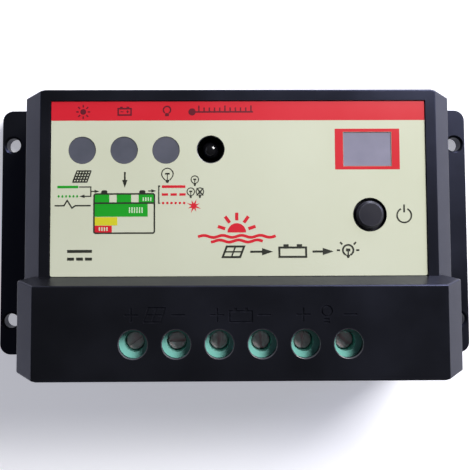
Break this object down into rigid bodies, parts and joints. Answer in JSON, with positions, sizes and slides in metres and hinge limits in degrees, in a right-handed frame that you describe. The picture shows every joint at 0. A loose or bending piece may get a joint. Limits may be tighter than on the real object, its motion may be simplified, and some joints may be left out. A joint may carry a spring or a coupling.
{
  "type": "charge controller",
  "caption": "Wall-mounted solar charge controller with a printed front label, indicator windows, a display window, a push button and a raised cover over screw terminals.",
  "frame": {"origin": "middle of the rear face, which lies on the wall", "axes": "+Z out of the front panel, +Y towards the top edge, +X to the right across the ears"},
  "size_m": [0.133, 0.0706, 0.035],
  "materials": {
    "black_abs": "satin injection-moulded ABS",
    "button_black": "satin",
    "switch_plastic": "moulded",
    "printed_film": "satin printed film",
    "smoke_window": "smoke tinted",
    "epoxy_black": "glossy epoxy",
    "terminal_green": "moulded polyamide",
    "tinned_copper": "tin plated",
    "board_green": "solder mask on glass epoxy",
    "aluminium_plate": "mill finish",
    "silicone_pad": "soft silicone",
    "chip_epoxy": "moulded epoxy",
    "plated_steel": "zinc plated",
    "terminal_steel": "nickel plated, dull",
    "led_epoxy_green": "tinted epoxy",
    "led_epoxy_yellow": "tinted epoxy",
    "led_epoxy_red": "tinted epoxy",
    "spacer_nylon": "natural nylon",
    "display_plastic": "moulded",
    "shunt_alloy": "bare resistance wire",
    "chip_ceramic": "glazed chip",
    "chip_ceramic_tan": "chip",
    "capacitor_sleeve": "shrink sleeve"
  },
  "bodies": {
    "controller": {"battery_led": "led_epoxy_yellow", "board_screws": "plated_steel", "case_screws": "plated_steel", "chip_capacitors": "chip_ceramic_tan", "chip_leads": "tinned_copper", "chip_resistors": "chip_ceramic", "clamp_bar": "plated_steel", "clamp_screws": "plated_steel", "diodes": "chip_epoxy", "display_body": "display_plastic", "display_pins": "tinned_copper", "display_window": "smoke_window", "front_housing": "black_abs", "heat_plate": "aluminium_plate", "indicator_windows": "smoke_window", "label": "printed_film", "led_leads": "tinned_copper", "led_spacers": "spacer_nylon", "load_led": "led_epoxy_red", "main_board": "board_green", "main_capacitors": "capacitor_sleeve", "microcontroller": "chip_epoxy", "mosfet_bodies": "chip_epoxy", "mosfet_metal": "tinned_copper", "rear_housing": "black_abs", "sensor_leads": "tinned_copper", "shunt_wires": "shunt_alloy", "small_capacitors": "capacitor_sleeve", "sun_led": "led_epoxy_green", "switch_body": "switch_plastic", "temperature_sensor": "epoxy_black", "terminal_block": "terminal_green", "terminal_contacts": "tinned_copper", "thermal_pad": "silicone_pad", "voltage_regulator": "chip_epoxy"},
    "button": {"button_cap": "button_black", "switch_plunger": "switch_plastic"},
    "screw_1": {"terminal_screw_1": "terminal_steel"},
    "cage_1": {"terminal_cage_1": "plated_steel"},
    "screw_2": {"terminal_screw_2": "terminal_steel"},
    "cage_2": {"terminal_cage_2": "plated_steel"},
    "screw_3": {"terminal_screw_3": "terminal_steel"},
    "cage_3": {"terminal_cage_3": "plated_steel"},
    "screw_4": {"terminal_screw_4": "terminal_steel"},
    "cage_4": {"terminal_cage_4": "plated_steel"},
    "screw_5": {"terminal_screw_5": "terminal_steel"},
    "cage_5": {"terminal_cage_5": "plated_steel"},
    "screw_6": {"terminal_screw_6": "terminal_steel"},
    "cage_6": {"terminal_cage_6": "plated_steel"}
  },
  "joints": [
    {"name": "button_press", "type": "slide", "parent": "controller", "child": "button", "axis": [0, 0, -1], "range_m": [0, 0.0005], "stiffness_N_per_m": 3000},
    {"name": "terminal_screw_1_turn", "type": "hinge", "parent": "controller", "child": "screw_1", "pos_m": [-0.0254, -0.0265, 0.0284], "axis": [0, 0, -1], "range_deg": [0, 2160]},
    {"name": "terminal_cage_1_lift", "type": "slide", "parent": "controller", "child": "cage_1", "axis": [0, 0, 1], "range_m": [0, 0.003]},
    {"name": "terminal_screw_2_turn", "type": "hinge", "parent": "controller", "child": "screw_2", "pos_m": [-0.01524, -0.0265, 0.0284], "axis": [0, 0, -1], "range_deg": [0, 2160]},
    {"name": "terminal_cage_2_lift", "type": "slide", "parent": "controller", "child": "cage_2", "axis": [0, 0, 1], "range_m": [0, 0.003]},
    {"name": "terminal_screw_3_turn", "type": "hinge", "parent": "controller", "child": "screw_3", "pos_m": [-0.00508, -0.0265, 0.0284], "axis": [0, 0, -1], "range_deg": [0, 2160]},
    {"name": "terminal_cage_3_lift", "type": "slide", "parent": "controller", "child": "cage_3", "axis": [0, 0, 1], "range_m": [0, 0.003]},
    {"name": "terminal_screw_4_turn", "type": "hinge", "parent": "controller", "child": "screw_4", "pos_m": [0.00508, -0.0265, 0.0284], "axis": [0, 0, -1], "range_deg": [0, 2160]},
    {"name": "terminal_cage_4_lift", "type": "slide", "parent": "controller", "child": "cage_4", "axis": [0, 0, 1], "range_m": [0, 0.003]},
    {"name": "terminal_screw_5_turn", "type": "hinge", "parent": "controller", "child": "screw_5", "pos_m": [0.01524, -0.0265, 0.0284], "axis": [0, 0, -1], "range_deg": [0, 2160]},
    {"name": "terminal_cage_5_lift", "type": "slide", "parent": "controller", "child": "cage_5", "axis": [0, 0, 1], "range_m": [0, 0.003]},
    {"name": "terminal_screw_6_turn", "type": "hinge", "parent": "controller", "child": "screw_6", "pos_m": [0.0254, -0.0265, 0.0284], "axis": [0, 0, -1], "range_deg": [0, 2160]},
    {"name": "terminal_cage_6_lift", "type": "slide", "parent": "controller", "child": "cage_6", "axis": [0, 0, 1], "range_m": [0, 0.003]}
  ],
  "couplings": [
    {"joint": "terminal_screw_1_turn", "follows": "terminal_cage_1_lift", "rad_per_m": 12566},
    {"joint": "terminal_screw_2_turn", "follows": "terminal_cage_2_lift", "rad_per_m": 12566},
    {"joint": "terminal_screw_3_turn", "follows": "terminal_cage_3_lift", "rad_per_m": 12566},
    {"joint": "terminal_screw_4_turn", "follows": "terminal_cage_4_lift", "rad_per_m": 12566},
    {"joint": "terminal_screw_5_turn", "follows": "terminal_cage_5_lift", "rad_per_m": 12566},
    {"joint": "terminal_screw_6_turn", "follows": "terminal_cage_6_lift", "rad_per_m": 12566}
  ]
}
